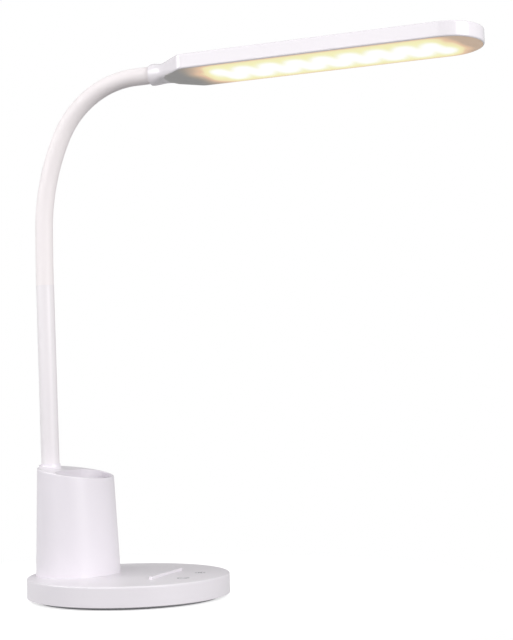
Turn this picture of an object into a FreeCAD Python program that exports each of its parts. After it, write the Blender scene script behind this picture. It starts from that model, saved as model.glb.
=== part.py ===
"""Gooseneck desk lamp with a pen cup on its base: a FreeCAD 1.1 macro, in millimetres.

The origin is the centre of the round base on the desk, +X points along the lamp's head,
+Z is up, and the lamp is symmetric about Y = 0. The neck is drawn in its stored bend.
"""
import FreeCAD
import Part
import Sketcher

import math
import os
import re

from FreeCAD import Placement, Rotation, Vector

doc = FreeCAD.newDocument("desk_lamp")

# ---------------------------------------------------------------- driving dimensions
SIZES = {
    # base
    "base_radius": 72.5,
    "base_top": 16.2,
    "base_skirt": 2.3,
    "base_wall": 2.2,
    "base_edge": 1.2,
    "plate_gap": 0.3,
    "plate_thick": 1.8,
    "pad_inset": 6.5,
    "pad_thick": 1.2,
    "boss_inset": 9.5,
    "boss_radius": 3.2,
    "screw_shank": 1.25,
    "screw_head": 2.6,
    "screw_fit": 0.05,
    "screw_grip": 5.5,
    # counterweight, electronics
    "weight_inset": 14.5,
    "weight_thick": 4,
    "weight_berth": 4,
    "weight_boss_x": 24,
    "weight_boss_y": 38,
    "battery_long": 50,
    "battery_wide": 34,
    "battery_thick": 5.5,
    "battery_centre": 9,
    "battery_lead_y": 8,
    "inlet_angle": 160,
    "board_inset": 3.5,
    "board_long": 31,
    "board_wide": 22,
    "board_level": 8.5,
    "board_thick": 1.6,
    "inlet_wide": 8.94,
    "inlet_tall": 3.26,
    "inlet_deep": 7.3,
    "inlet_shell": 0.3,
    "inlet_fit": 0.25,
    "touch_centre": 48.5,
    "touch_spread": 16,
    "touch_level": 9.6,
    "touch_wide": 14,
    "touch_long": 44,
    "touch_pad": 4.5,
    # phone ledge
    "ledge_centre": 28.9,
    "ledge_long": 56.4,
    "ledge_wide": 2.1,
    "ledge_tall": 1.9,
    "ledge_corner": 0.4,
    "ledge_peg": 0.85,
    "ledge_peg_deep": 1.8,
    "ledge_peg_inset": 7,
    # pen cup
    "cup_inset": 3,
    "cup_width": 69.4,
    "cup_depth": 58.8,
    "rim_inset": 2.1,
    "rim_depth": 51.8,
    "rim_level": 89.7,
    "rim_tilt": 10.1,
    "cup_wall": 2,
    "cup_floor": 4,
    "cup_fillet": 0.7,
    "cup_back": 19.5,
    "cup_screw_inset": 11.3,
    "cup_screw_y": 17,
    "room_corner": 14,
    "room_spare": 1.2,
    "well_radius": 5.4,
    "well_inset": 12.7,
    "well_y": 17,
    # stem
    "stem_radius": 6.65,
    "stem_wall": 1,
    "stem_lean": 1.34,
    "stem_seat": 19,
    "seam_inset": 7.1,
    "seam_z": 228,
    "spine_wall": 1.75,
    "collar_level": 95.7,
    "collar_lip": 0.65,
    "collar_flare": 6,
    "spigot_radius": 5,
    "spigot_bore": 3.6,
    "spigot_end": 9.3,
    "washer_radius": 8.5,
    "washer_thick": 1,
    "nut_flats": 14,
    "nut_tall": 3.2,
    # neck
    "bend_low_long": 42.9,
    "bend_low_turn": 1.74,
    "bend_mid_long": 70.2,
    "bend_mid_turn": 24.51,
    "bend_top_long": 77.0,
    "bend_top_turn": 64.49,
    "neck_run_out": 12.8,
    "joint_first": 8,
    "joint_last": 7.5,
    "sleeve_radius": 6.6,
    "sleeve_wall": 1.1,
    "sleeve_entry": 5,
    "link_radius": 4.8,
    "link_bore": 2.4,
    "ball_radius": 4.3,
    "ball_gap": 0.3,
    "skirt_rise": 1.2,
    "shoulder_drop": 2.2,
    "lead_radius": 0.8,
    "lead_lead_in": 4,
    "lead_berth": 5,
    # head
    "collar_radius": 7.6,
    "collar_gap": 0.3,
    "head_half_width": 26.5,
    "head_half_thick": 5.4,
    "head_length": 243.8,
    "head_edge": 1.2,
    "root_shoulder": 32.5,
    "head_skin": 1.8,
    "head_rim": 1.1,
    "diffuser_thick": 1.6,
    "diffuser_fit": 0.1,
    "diffuser_root": 12.3,
    "nose_depth": 4.1,
    "root_slope": 0.775,
    "cavity_root": 21,
    "led_board_wide": 38,
    "led_board_thick": 1,
    "led_board_start": 34,
    "led_board_end": 236,
    "led_count": 18,
    "led_pitch": 9.7,
    "led_first": 54.5,
    "led_rows": 16,
    "led_offset": 2,
    "led_size": 2.8,
    "led_tall": 0.8,
    "ferrule_grip": 9.8,
    "thread_radius": 2.6,
    "thread_bore": 1.7,
    "thread_end": 24.5,
    "neck_nut_flats": 7,
    "neck_nut_tall": 2.5,
}
# sizes that follow from others, so that what stands on the base moves with its edge
FOLLOWING = {
    "seam_x": "seam_inset - base_radius",
    "cup_foot_rear": "cup_inset - base_radius",
    "cup_foot_front": "cup_foot_rear + cup_depth",
    "rim_rear": "cup_foot_rear + rim_inset",
    "rim_front": "rim_rear + rim_depth",
    "cup_screw_x": "cup_foot_front - cup_screw_inset",
    "weight_flat": "weight_berth + board_inset + board_long - base_radius",
}
LINK_JOINTS = 14
BASE_SCREWS = [(f"(base_radius - boss_inset) * cos({angle} deg)",
                f"(base_radius - boss_inset) * sin({angle} deg)")
               for angle in (45, 135, 225, 315)]
WEIGHT_POSTS = (("weight_boss_x", "weight_boss_y"), ("weight_boss_x", "-weight_boss_y"),
                ("-weight_boss_x", "-weight_boss_y"))
CUP_SCREWS = (("cup_screw_x", "cup_screw_y"), ("cup_screw_x", "-cup_screw_y"))
STEM_FOOT_X = "seam_x + (seam_z - base_top) * tan(stem_lean * 1 deg)"
BOARD_EDGE = "base_radius - board_inset - board_long"

sheet = doc.addObject("Spreadsheet::Sheet", "Sizes")
for row, (name, number) in enumerate({**SIZES, **FOLLOWING}.items(), start=1):
    sheet.set(f"A{row}", name)
    sheet.setAlias(f"B{row}", name)
    sheet.set(f"B{row}", f"={number}")
sheet_names = {*SIZES, *FOLLOWING}
doc.recompute()


# ---------------------------------------------------------------- helpers
def bound(formula):
    """The formula with its sheet names written out in full, as setExpression wants them."""
    return re.sub(r"[a-z_]+", lambda w: "Sizes." * (w[0] in sheet_names) + w[0], formula)


def value(formula):
    """What a formula on the sheet's names comes to now."""
    return float(sheet.evalExpression(formula))


def bind(item, **formulas):
    """Binds properties of an object to formulas on the sheet. A double underscore is a dot."""
    for name, formula in formulas.items():
        item.setExpression(name.replace("__", "."), bound(formula))
    return item


def body(label):
    """An empty body, whose Label names its piece."""
    made = doc.addObject("PartDesign::Body", label)
    made.Label = label
    return made


def sketch_on(owner, role, offset="0"):
    """A sketch on one of a body's own origin planes, lifted off it by a formula."""
    plane = next(p for p in owner.Origin.OriginFeatures if p.Role == role)
    drawn = owner.newObject("Sketcher::SketchObject", owner.Name + "_outline")
    drawn.AttachmentSupport = [(plane, "")]
    drawn.MapMode = "FlatFace"
    bind(drawn, AttachmentOffset__Base__z=offset)
    doc.recompute()
    return drawn


def fix_point(drawn, line, end, across, up):
    """Holds one end of a line, or a point, at a place given by two formulas."""
    for kind, axis, formula in (("DistanceX", -2, across), ("DistanceY", -1, up)):
        place = value(formula)
        if abs(place) < 1e-9:
            drawn.addConstraint(Sketcher.Constraint("PointOnObject", line, end, axis))
            continue
        held = drawn.addConstraint(Sketcher.Constraint(kind, -1, 1, line, end, place))
        drawn.setExpression(f"Constraints[{held}]", bound(formula))


def outline(drawn, corners):
    """Closes straight lines through corners (across, up) or (across, up, corner radius)."""
    points = [Vector(value(c[0]), value(c[1]), 0) for c in corners]
    radii = [value(c[2]) if len(c) > 2 else 0 for c in corners]
    entries, exits = [], []
    for i, point in enumerate(points):
        back = (points[i - 1] - point).normalize()
        ahead = (points[(i + 1) % len(points)] - point).normalize()
        reach = radii[i] / math.tan(back.getAngle(ahead) / 2) if radii[i] else 0
        entries.append(point + back * reach)
        exits.append(point + ahead * reach)
    first = drawn.GeometryCount
    for i in range(len(points)):
        drawn.addGeometry(Part.LineSegment(exits[i], entries[(i + 1) % len(points)]), False)
    for i, corner in enumerate(corners):
        line, before = first + i, first + (i - 1) % len(points)
        if not radii[i]:
            drawn.addConstraint(Sketcher.Constraint("Coincident", before, 2, line, 1))
            fix_point(drawn, line, 1, corner[0], corner[1])
            continue
        back = (entries[i] - points[i]).normalize()
        ahead = (exits[i] - points[i]).normalize()
        middle = (back + ahead).normalize()
        depth = radii[i] / math.sin(back.getAngle(ahead) / 2) - radii[i]
        arc = drawn.addGeometry(
            Part.Arc(entries[i], points[i] + middle * depth, exits[i]), False
        )
        anticlockwise = ahead.cross(back).z > 0
        start, finish = (1, 2) if anticlockwise else (2, 1)
        drawn.addConstraint(Sketcher.Constraint("Tangent", before, 2, arc, start))
        drawn.addConstraint(Sketcher.Constraint("Tangent", arc, finish, line, 1))
        held = drawn.addConstraint(Sketcher.Constraint("Radius", arc, radii[i]))
        drawn.setExpression(f"Constraints[{held}]", bound(corner[2]))
        tip = drawn.addGeometry(Part.Point(points[i]), True)
        drawn.addConstraint(Sketcher.Constraint("PointOnObject", tip, 1, before))
        drawn.addConstraint(Sketcher.Constraint("PointOnObject", tip, 1, line))
        fix_point(drawn, tip, 1, corner[0], corner[1])
    return drawn


def circle(drawn, across, up, radius):
    """A circle in a sketch, its centre and radius bound to formulas."""
    centre = Vector(value(across), value(up), 0)
    ring = drawn.addGeometry(Part.Circle(centre, Vector(0, 0, 1), value(radius)), False)
    fix_point(drawn, ring, 3, across, up)
    held = drawn.addConstraint(Sketcher.Constraint("Radius", ring, value(radius)))
    drawn.setExpression(f"Constraints[{held}]", bound(radius))
    return drawn


def rectangle(drawn, left, right, low, high):
    """A rectangle in a sketch between four formulas."""
    return outline(drawn, [(left, low), (right, low), (right, high), (left, high)])


def hexagon(drawn, flats, turn):
    """A hexagon about the origin, by its width across flats and its first corner's angle."""
    return outline(drawn, [
        (f"{flats} / 2 / cos(30 deg) * cos({turn + step} deg)",
         f"{flats} / 2 / cos(30 deg) * sin({turn + step} deg)") for step in range(0, 360, 60)])


def pad(drawn, length, downwards=False):
    """Adds what is drawn as a pad on the sketch's body."""
    owner = drawn.getParentGeoFeatureGroup()
    made = owner.newObject("PartDesign::Pad", owner.Name + "_pad")
    made.Profile = drawn
    made.Reversed = downwards
    bind(made, Length=length)
    doc.recompute()
    return made


def pocket(drawn, depth, upwards=False):
    """Cuts what is drawn out of the sketch's body, and makes sure that it cut something."""
    owner = drawn.getParentGeoFeatureGroup()
    before = owner.Shape.Volume
    made = owner.newObject("PartDesign::Pocket", owner.Name + "_pocket")
    made.Profile = drawn
    made.Reversed = upwards
    bind(made, Length=depth)
    doc.recompute()
    if not made.Shape.Volume < before - 1e-6:
        raise RuntimeError(f"{made.Name} cuts nothing")
    return made


def turned(label, corners):
    """A body turned about its Z axis from an outline of (radius, height) corners."""
    made = body(label)
    drawn = outline(sketch_on(made, "XZ_Plane"), corners)
    turn = made.newObject("PartDesign::Revolution", label + "_turned")
    turn.Profile = drawn
    turn.ReferenceAxis = (drawn, ["V_Axis"])
    turn.Angle = 360
    doc.recompute()
    return made


def copies(label, original, places):
    """One piece made of like solids: a copy of the original at each placement."""
    made = doc.addObject("Part::Feature", label)
    made.Label = label
    made.Shape = Part.makeCompound([original.transformed(p.toMatrix()) for p in places])
    return made


def fillet_edges(owner, chosen, radius):
    """Rounds the edges of a body that the test chooses."""
    last = owner.Tip
    edges = [f"Edge{i}" for i, e in enumerate(owner.Shape.Edges, start=1) if chosen(e)]
    made = owner.newObject("PartDesign::Fillet", owner.Name + "_fillet")
    made.Base = (last, edges)
    bind(made, Radius=radius)
    doc.recompute()
    return made


def bent_run(label, points, share=0.45):
    """Straight runs joined by arcs as large as the runs allow, as edges. Prints the radii."""
    edges, radii, start = [], [], points[0]
    for before, corner, after in zip(points, points[1:], points[2:]):
        back, ahead = before - corner, after - corner
        reach = share * min(back.Length, ahead.Length)
        entry = corner + back.normalize() * reach
        leave = corner + ahead.normalize() * reach
        half = back.getAngle(ahead) / 2
        bend = reach * math.tan(half)
        inward = (back + ahead).normalize() * (bend / math.sin(half) - bend)
        edges.append(Part.LineSegment(start, entry).toShape())
        edges.append(Part.Arc(entry, corner + inward, leave).toShape())
        radii.append(round(bend, 1))
        start = leave
    edges.append(Part.LineSegment(start, points[-1]).toShape())
    print(f"{label} bend radii in mm: {radii}")
    return edges


def round_lead(label, points, further=()):
    """A round lead swept along bent runs, then along any further edges."""
    path = Part.Wire(bent_run(label, points) + list(further))
    ring = Part.Circle(points[0], points[1] - points[0], value("lead_radius")).toShape()
    made = doc.addObject("Part::Feature", label)
    made.Label = label
    made.Shape = path.makePipeShell([Part.Wire([ring])], True, False)
    return made


# ---------------------------------------------------------------- the neck's centreline
class Centreline:
    """The stem and neck's line in the plane Y = 0, by its length from the sleeve's lower end."""

    def __init__(self):
        self.start = Vector(value("seam_x"), 0, value("seam_z"))
        self.lean = math.radians(90 + value("stem_lean"))
        self.bends = [
            (value("bend_low_long"), math.radians(value("bend_low_turn"))),
            (value("bend_mid_long"), math.radians(value("bend_mid_turn"))),
            (value("bend_top_long"), math.radians(value("bend_top_turn"))),
            (value("neck_run_out"), 0),
        ]
        self.length = sum(long for long, _ in self.bends)

    def at(self, along):
        """(point, heading from +X in radians) at a length along the line; below 0 is the stem."""
        point, heading = self.start, self.lean
        if along <= 0:
            return point + self.towards(heading) * along, heading
        for long, turn in self.bends:
            step = min(along, long)
            swept = turn * step / long
            if swept:
                chord = 2 * long / turn * math.sin(swept / 2)
                point = point + self.towards(heading - swept / 2) * chord
            else:
                point = point + self.towards(heading) * step
            heading -= swept
            along -= step
        return point + self.towards(heading) * along, heading

    @staticmethod
    def towards(heading):
        return Vector(math.cos(heading), 0, math.sin(heading))

    def joints(self):
        """The points that the neck hinges about, evenly spaced."""
        first = value("joint_first")
        last = self.length - value("joint_last")
        return [self.at(first + (last - first) * k / (LINK_JOINTS - 1))[0]
                for k in range(LINK_JOINTS)]

    def wire(self, start, finish):
        """The line between two lengths, as straight runs and true arcs."""
        marks, along = [start, 0], 0
        for long, _ in self.bends:
            along += long
            marks.append(along)
        marks.append(finish)
        marks = sorted({m for m in marks if start <= m <= finish})
        edges = []
        for low, high in zip(marks, marks[1:]):
            ends = [self.at(m)[0] for m in (low, (low + high) / 2, high)]
            turn = self.at(low + 1e-6)[1] - self.at(high - 1e-6)[1]
            if turn > 1e-5:
                edges.append(Part.Arc(*ends).toShape())
            else:
                edges.append(Part.LineSegment(ends[0], ends[2]).toShape())
        return Part.Wire(edges)


neck = Centreline()


def along_neck(point, heading):
    """A placement whose Z axis runs along the neck at that point."""
    return Placement(point, Rotation(Vector(0, 1, 0), 90 - math.degrees(heading)))


def stem_axis_placement(level):
    """A placement on the leaning stem's axis at a height, its Z axis along the stem."""
    down = (value("seam_z") - level) / math.cos(math.radians(value("stem_lean")))
    return along_neck(*neck.at(-down))


def inlet_turn():
    """The turn about Z from +X to the inlet and its board."""
    return Placement(Vector(), Rotation(Vector(0, 0, 1), value("inlet_angle")))


# ---------------------------------------------------------------- base shell
def base_shell():
    """The round base moulding: skirt and top in one wall, open underneath, with screw posts."""
    inside = "base_radius - base_wall"
    ceiling = "base_top - base_wall"
    shell = turned("base_shell", [
        ("0", ceiling), (inside, ceiling), (inside, "base_skirt"),
        ("base_radius", "base_skirt"), ("base_radius", "base_top", "base_edge"),
        ("0", "base_top"),
    ])
    posts = sketch_on(shell, "XY_Plane", ceiling)
    for across, up in BASE_SCREWS:
        circle(posts, across, up, "boss_radius")
    pad(posts, "base_top - base_wall - pad_thick - plate_thick", downwards=True)
    weight_posts = sketch_on(shell, "XY_Plane", ceiling)
    for across, up in WEIGHT_POSTS:
        circle(weight_posts, across, up, "boss_radius")
    pad(weight_posts, "base_top - base_wall - pad_thick - plate_thick - weight_thick",
        downwards=True)
    pilots = sketch_on(shell, "XY_Plane", "0")
    for across, up in BASE_SCREWS:
        circle(pilots, across, up, "screw_shank + screw_fit")
    for across, up in WEIGHT_POSTS:
        circle(pilots, across, up, "screw_shank + screw_fit")
    pocket(pilots, "base_top - base_wall", upwards=True)
    holes = sketch_on(shell, "XY_Plane", "0")
    circle(holes, STEM_FOOT_X, "0", "spigot_radius + screw_fit * 4")
    for across, up in CUP_SCREWS:
        circle(holes, across, up, "screw_shank + screw_fit")
    for side in ("-", ""):
        circle(holes, "ledge_centre", f"{side}(ledge_long / 2 - ledge_peg_inset)",
               "ledge_peg + screw_fit")
    pocket(holes, "base_top + 1", upwards=True)
    mouth = doc.addObject("Part::Box", "inlet_mouth")
    bind(mouth, Length="base_wall * 3", Width="inlet_wide + inlet_fit * 2",
         Height="inlet_tall + inlet_fit * 2")
    corner = Vector(value("base_radius - base_wall * 2"), -value("inlet_wide / 2 + inlet_fit"),
                    value("board_level + board_thick - inlet_fit"))
    mouth.Placement = inlet_turn().multiply(Placement(corner, Rotation()))
    shell.Label = "base_moulding"
    cut = doc.addObject("Part::Cut", "base_shell_cut")
    cut.Base = shell
    cut.Tool = mouth
    cut.Label = "base_shell"
    doc.recompute()
    return cut


def bottom_plate():
    """The flat cover that closes the base, held by four flat-head screws."""
    edge = "base_radius - base_wall - plate_gap"
    plate = turned("bottom_plate", [
        ("0", "pad_thick"), (f"{edge} - plate_thick / 2", "pad_thick"),
        (edge, "pad_thick + plate_thick / 2"), (edge, "pad_thick + plate_thick"),
        ("0", "pad_thick + plate_thick"),
    ])
    holes = sketch_on(plate, "XY_Plane", "0")
    for across, up in BASE_SCREWS:
        circle(holes, across, up, "screw_head + screw_fit * 2")
    pocket(holes, "pad_thick + plate_thick * 0.6", upwards=True)
    shanks = sketch_on(plate, "XY_Plane", "0")
    for across, up in BASE_SCREWS:
        circle(shanks, across, up, "screw_shank + screw_fit")
    pocket(shanks, "base_top", upwards=True)
    return plate


def foot_pad():
    """The soft disc that the lamp rests on. It also hides the screws."""
    return turned("foot_pad", [
        ("0", "0"), ("base_radius - pad_inset - 0.3", "0"), ("base_radius - pad_inset", "0.3"),
        ("base_radius - pad_inset", "pad_thick"), ("0", "pad_thick"),
    ])


def screw(label, head, shank, grip, head_tall):
    """A pan-head screw with its head's underside at the origin and its shank up +Z."""
    return turned(label, [
        ("0", f"-({head_tall})"), (f"{head} * 0.75", f"-({head_tall})"),
        (head, f"-({head_tall}) * 0.4"), (head, "0"), (shank, "0"),
        (shank, f"{grip} - {shank}"), ("0", grip),
    ])


def fasteners():
    """The screw groups: base cover, counterweight and pen cup."""
    cover = screw("cover_screw", "screw_head", "screw_shank", "screw_grip + 2",
                  "plate_thick * 0.6")
    level = value("pad_thick + plate_thick * 0.6")
    copies("base_screws", cover.Shape, [
        Placement(Vector(value(across), value(up), level), Rotation())
        for across, up in BASE_SCREWS])
    weight_level = value("pad_thick + plate_thick + weight_thick * 0.4")
    copies("weight_screws", cover.Shape, [
        Placement(Vector(value(across), value(up), weight_level), Rotation())
        for across, up in WEIGHT_POSTS])
    short = screw("short_screw", "screw_head * 0.9", "screw_shank",
                  "base_wall + cup_floor * 0.8", "1.4")
    copies("cup_screws", short.Shape, [
        Placement(Vector(value(across), value(up), value("base_top - base_wall")), Rotation())
        for across, up in CUP_SCREWS])


# ---------------------------------------------------------------- inside the base
def counterweight():
    """The steel plate that keeps the lamp standing, cut straight behind the stem's nut."""
    low = "pad_thick + plate_thick"
    plate = turned("counterweight", [
        ("0", low), ("base_radius - weight_inset", low),
        ("base_radius - weight_inset", f"{low} + weight_thick"), ("0", f"{low} + weight_thick"),
    ])
    rear = sketch_on(plate, "XY_Plane", "0")
    rectangle(rear, "-base_radius", "weight_flat", "-base_radius", "base_radius")
    pocket(rear, "base_top", upwards=True)
    wells = sketch_on(plate, "XY_Plane", "0")
    for across, up in WEIGHT_POSTS:
        circle(wells, across, up, "screw_head + screw_fit * 4")
    pocket(wells, "pad_thick + plate_thick + weight_thick * 0.4", upwards=True)
    holes = sketch_on(plate, "XY_Plane", "0")
    for across, up in WEIGHT_POSTS:
        circle(holes, across, up, "screw_shank + screw_fit")
    pocket(holes, "base_top", upwards=True)
    return plate


def battery():
    """The flat pouch cell, stuck on the counterweight."""
    cell = body("battery")
    drawn = sketch_on(cell, "XY_Plane", "pad_thick + plate_thick + weight_thick")
    outline(drawn, [
        ("battery_centre - battery_long / 2", "-battery_wide / 2", "2"),
        ("battery_centre + battery_long / 2", "-battery_wide / 2", "2"),
        ("battery_centre + battery_long / 2", "battery_wide / 2", "2"),
        ("battery_centre - battery_long / 2", "battery_wide / 2", "2"),
    ])
    pad(drawn, "battery_thick")
    return cell


def control_board():
    """The board behind the inlet, with its driver parts, drawn along X and turned to the inlet."""
    board = body("control_board")
    plate = sketch_on(board, "XY_Plane", "board_level")
    rectangle(plate, BOARD_EDGE, "base_radius - board_inset", "-board_wide / 2",
              "board_wide / 2")
    pad(plate, "board_thick")
    parts = sketch_on(board, "XY_Plane", "board_level + board_thick")
    rectangle(parts, BOARD_EDGE + " + 3", BOARD_EDGE + " + 9", "-board_wide / 2 + 3",
              "-board_wide / 2 + 9")
    rectangle(parts, BOARD_EDGE + " + 12", BOARD_EDGE + " + 17", "-board_wide / 2 + 3",
              "-board_wide / 2 + 8")
    rectangle(parts, BOARD_EDGE + " + 4", BOARD_EDGE + " + 12", "board_wide / 2 - 8",
              "board_wide / 2 - 3")
    pad(parts, "1.8")
    board.Placement = inlet_turn()
    return board


def board_posts():
    """Two moulded spacers that hang the control board from the base's ceiling."""
    posts = body("board_spacers")
    drawn = sketch_on(posts, "XY_Plane", "board_level + board_thick")
    circle(drawn, BOARD_EDGE + " + 20", "board_wide / 2 - 3", "2")
    circle(drawn, BOARD_EDGE + " + 20", "-board_wide / 2 + 3", "2")
    pad(drawn, "base_top - base_wall - board_level - board_thick")
    posts.Placement = inlet_turn()
    return posts


def inlet_outline(drawn, low, spare):
    """The inlet's oblong: its half height is its end radius."""
    side = f"inlet_wide / 2 - {spare}"
    top = f"{low} + inlet_tall - {spare}"
    corner = f"inlet_tall / 2 - {spare} - 0.05"
    return outline(drawn, [
        (f"-({side})", f"{low} + {spare}", corner), (side, f"{low} + {spare}", corner),
        (side, top, corner), (f"-({side})", top, corner),
    ])


def usb_inlet():
    """The metal shell of the charging inlet, with its tongue."""
    inlet = body("usb_inlet")
    low = "board_level + board_thick"
    drawn = inlet_outline(sketch_on(inlet, "YZ_Plane", "base_radius - 0.6 - inlet_deep"),
                          low, "0")
    pad(drawn, "inlet_deep")
    hollow = inlet_outline(sketch_on(inlet, "YZ_Plane", "base_radius - 0.6"), low,
                           "inlet_shell")
    pocket(hollow, "inlet_deep - 1")
    tongue = sketch_on(inlet, "YZ_Plane", "base_radius - 0.6 - inlet_deep + 0.5")
    rectangle(tongue, "-inlet_wide / 2 + 1.4", "inlet_wide / 2 - 1.4",
              f"{low} + inlet_tall / 2 - 0.35", f"{low} + inlet_tall / 2 + 0.35")
    pad(tongue, "inlet_deep - 1.5")
    inlet.Placement = inlet_turn()
    return inlet


def touch_pieces():
    """The touch board under the two marks, and the spring electrodes that reach the ceiling."""
    board = body("touch_board")
    drawn = sketch_on(board, "XY_Plane", "touch_level")
    rectangle(drawn, "touch_centre - touch_wide / 2", "touch_centre + touch_wide / 2",
              "-touch_long / 2", "touch_long / 2")
    pad(drawn, "board_thick")
    coil = turned("touch_coil", [
        ("touch_pad - 1.2", "touch_level + board_thick"),
        ("touch_pad", "touch_level + board_thick"),
        ("touch_pad - 1", "base_top - base_wall"),
        ("touch_pad - 2.2", "base_top - base_wall"),
    ])
    copies("touch_springs", coil.Shape, [
        Placement(Vector(value("touch_centre"), side * value("touch_spread"), 0), Rotation())
        for side in (-1, 1)])
    legs = body("touch_legs")
    feet = sketch_on(legs, "XY_Plane", "pad_thick + plate_thick + weight_thick")
    for side in ("-", ""):
        circle(feet, "touch_centre", f"{side}(touch_spread + 4)", "1.6")
    pad(feet, "touch_level - pad_thick - plate_thick - weight_thick")


def on_board(along, across, level):
    """The point at a length from the control board's inner edge, turned to the inlet."""
    return inlet_turn().multVec(Vector(value(BOARD_EDGE) + along, across, level))


def leads():
    """The two leads between the boards and the cell, clear of the parts around them."""
    level = value("board_level + board_thick / 2")
    quarter = value("board_wide / 4")
    cell_end = Vector(value("battery_centre - battery_long / 2"), value("battery_lead_y"), level)
    round_lead("battery_lead", [
        cell_end, cell_end - Vector(value("lead_lead_in"), 0, 0),
        on_board(-value("lead_lead_in"), -quarter, level), on_board(0, -quarter, level)])
    side = value("battery_wide / 2 + lead_berth")
    third = quarter + value("lead_radius * 4")
    touch_end = Vector(value("touch_centre - touch_wide / 2"), value("touch_spread + 3"),
                       value("touch_level + board_thick / 2"))
    round_lead("touch_lead", [
        touch_end, Vector(value("battery_centre + battery_long / 2"), side, level),
        Vector(value("battery_centre - battery_long / 2"), side, level),
        on_board(-value("lead_lead_in") * 2, -third, level), on_board(0, -third, level)])


# ---------------------------------------------------------------- phone ledge
def phone_ledge():
    """The low bar that a phone leans against, with two pegs in the base's top."""
    bar = body("phone_ledge")
    drawn = sketch_on(bar, "XY_Plane", "base_top")
    outline(drawn, [
        (f"ledge_centre {x} ledge_wide / 2", f"{y}ledge_long / 2", "ledge_corner")
        for x, y in (("-", "-"), ("+", "-"), ("+", ""), ("-", ""))])
    pad(drawn, "ledge_tall")
    top = value("base_top + ledge_tall")
    fillet_edges(bar, lambda e: all(abs(v.Z - top) < 1e-3 for v in e.Vertexes),
                 "ledge_corner * 0.8")
    pegs = sketch_on(bar, "XY_Plane", "base_top")
    for side in ("-", ""):
        circle(pegs, "ledge_centre", f"{side}(ledge_long / 2 - ledge_peg_inset)", "ledge_peg")
    pad(pegs, "ledge_peg_deep", downwards=True)
    return bar


# ---------------------------------------------------------------- pen cup
def oval(name, across, along):
    """An oval with its long axis sideways, as the section of a loft."""
    made = doc.addObject("Part::Ellipse", name)
    bind(made, MajorRadius=across, MinorRadius=along)
    return made


def cup_loft(name, floor, wall, rounding):
    """The cup's tapered oval as a solid, from a level foot to the slanted rim.

    The last bands close in by the rounding, or open out where it's negative: the rim's edge.
    """
    foot = oval(name + "_foot", f"cup_width / 2 - {wall}",
                f"(cup_foot_front - cup_foot_rear) / 2 - {wall}")
    foot.Placement.Rotation = Rotation(Vector(0, 0, 1), 90)
    bind(foot, Placement__Base__x="(cup_foot_front + cup_foot_rear) / 2",
         Placement__Base__z=floor)
    sections = [foot]
    for below, inward in ((1, 0), (0.3, 0.3), (0, 1)):
        thin = f"{wall} + {rounding} * {inward}"
        rim = oval(name + "_rim", f"cup_width / 2 - ({thin})",
                   f"(rim_front - rim_rear) / 2 / cos(rim_tilt * 1 deg) - ({thin})")
        rim.Placement.Rotation = rim_turn() * Rotation(Vector(0, 0, 1), 90)
        bind(rim, Placement__Base__x="(rim_front + rim_rear) / 2",
             Placement__Base__z=f"rim_level - cup_fillet * {below}")
        sections.append(rim)
    loft = doc.addObject("Part::Loft", name)
    loft.Sections = sections
    loft.Solid = True
    loft.Ruled = True
    doc.recompute()
    return loft


def rim_turn():
    """The turn of the rim's plane, which falls towards the front."""
    return Rotation(Vector(0, 1, 0), value("rim_tilt"))


def boolean(kind, name, base, tool):
    """A Part boolean of two objects."""
    made = doc.addObject("Part::" + kind, name)
    made.Base = base
    made.Tool = tool
    made.Refine = False
    doc.recompute()
    return made


def stem_cylinder(name, radius, low, high):
    """A cylinder on the leaning stem's axis between two heights."""
    made = doc.addObject("Part::Cylinder", name)
    bind(made, Radius=radius, Height=f"(({high}) - ({low})) / cos(stem_lean * 1 deg)")
    made.Placement = stem_axis_placement(value(low))
    return made


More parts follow.
